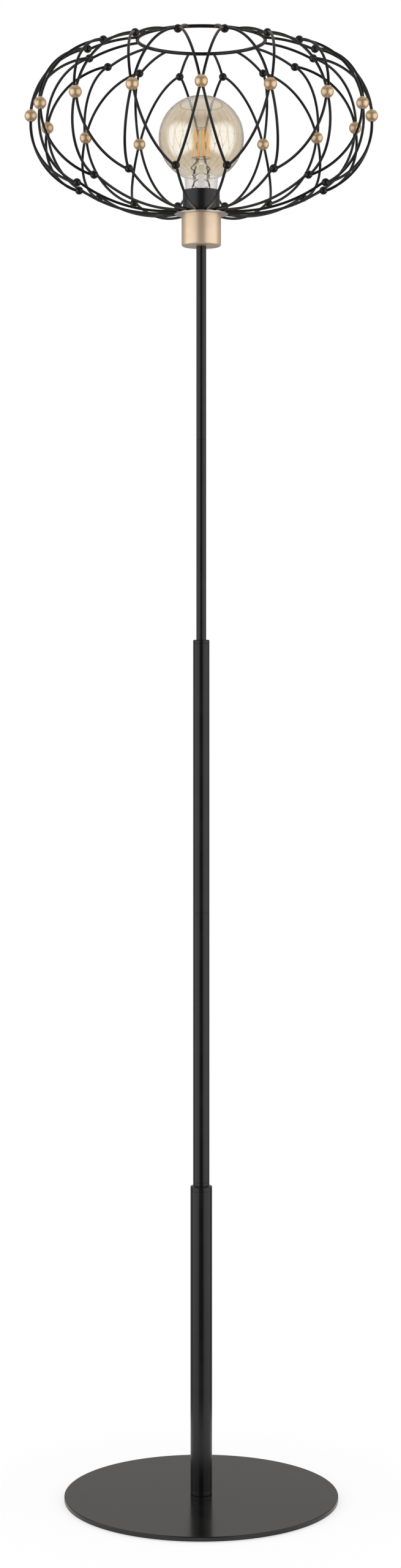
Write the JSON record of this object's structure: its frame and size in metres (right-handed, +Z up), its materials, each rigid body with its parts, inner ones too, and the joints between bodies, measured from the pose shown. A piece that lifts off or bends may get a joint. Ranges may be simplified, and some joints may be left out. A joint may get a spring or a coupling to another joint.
{
  "type": "floor lamp",
  "caption": "Floor lamp with a round base, a stepped round pole, a gold cup and an open cage of bent wires and balls round a globe bulb that unscrews.",
  "frame": {"origin": "centre of the round base at floor level, under the felt pads", "axes": "+Z up along the pole, -Y is the front, where one gold ball faces the viewer, and the cable inlet is at +Y"},
  "size_m": [0.394, 0.394, 1.6271],
  "materials": {
    "black_coat": "satin black powder coat",
    "gold_lacquer": "satin champagne gold lacquer",
    "felt": "pressed felt",
    "rubber": "matt rubber",
    "cable_sheath": "soft vinyl sheath",
    "core_sheath": "vinyl insulation",
    "zinc": "zinc plated",
    "black_plastic": "satin black thermoplastic",
    "ceramic": "glazed",
    "brass": "bright pressed brass",
    "nickel": "rolled, nickel plated",
    "solder": "tinned",
    "cap_glass": "black cap insulation",
    "amber_glass": "clear glass with an amber tint, clear at the neck",
    "clear_glass": "clear pressed glass",
    "filament": "phosphor coated filament",
    "fine_wire": "oxidised wire",
    "circuit_board": "board with components"
  },
  "bodies": {
    "root": {"felt_pads": "felt", "base_plate": "black_coat", "base_bolt": "zinc", "foot_insert": "black_coat", "lower_tube": "black_coat", "cable_grommet": "rubber", "lower_cap": "black_coat", "middle_foot": "black_coat", "middle_tube_lower": "black_coat", "middle_joiner": "zinc", "middle_tube_upper": "black_coat", "middle_cap": "black_coat", "top_tube_lower": "black_coat", "top_joiner": "zinc", "top_tube_upper": "black_coat", "inner_lead": "cable_sheath", "lead_cores": "core_sheath", "holder_nipple": "zinc", "cup": "gold_lacquer", "cup_nut": "zinc", "holder_base": "black_plastic", "terminal_block": "ceramic", "terminal_screws": "zinc", "thread_sleeve": "brass", "centre_contact": "brass", "holder_shell": "black_plastic", "hub_plate": "black_coat", "shade_ring": "black_plastic", "top_ring": "black_coat", "upper_arms": "black_coat", "upper_left_wires": "black_coat", "upper_right_wires": "black_coat", "lower_left_wires": "black_coat", "lower_right_wires": "black_coat", "lower_arms": "black_coat", "gold_balls": "gold_lacquer", "upper_balls": "black_coat", "lower_balls": "black_coat"},
    "bulb_lift": {"bulb_contact": "solder", "bulb_insulator": "cap_glass"},
    "bulb_turn": {"bulb_cap": "nickel", "bulb_glass": "amber_glass", "bulb_stem": "clear_glass", "filaments": "filament", "filament_ring": "fine_wire", "filament_struts": "fine_wire", "lead_wires": "fine_wire", "driver_board": "circuit_board"}
  },
  "joints": [
    {"name": "bulb_lift", "type": "slide", "parent": "root", "child": "bulb_lift", "axis": [0, 0, 1], "range_m": [0, 0.01815]},
    {"name": "bulb_turn", "type": "hinge", "parent": "bulb_lift", "child": "bulb_turn", "pos_m": [0, 0, 1.5159], "axis": [0, 0, 1], "range_deg": [0, 1800]}
  ],
  "couplings": [
    {"joint": "bulb_lift", "follows": "bulb_turn", "m_per_rad": 0.00057757}
  ]
}
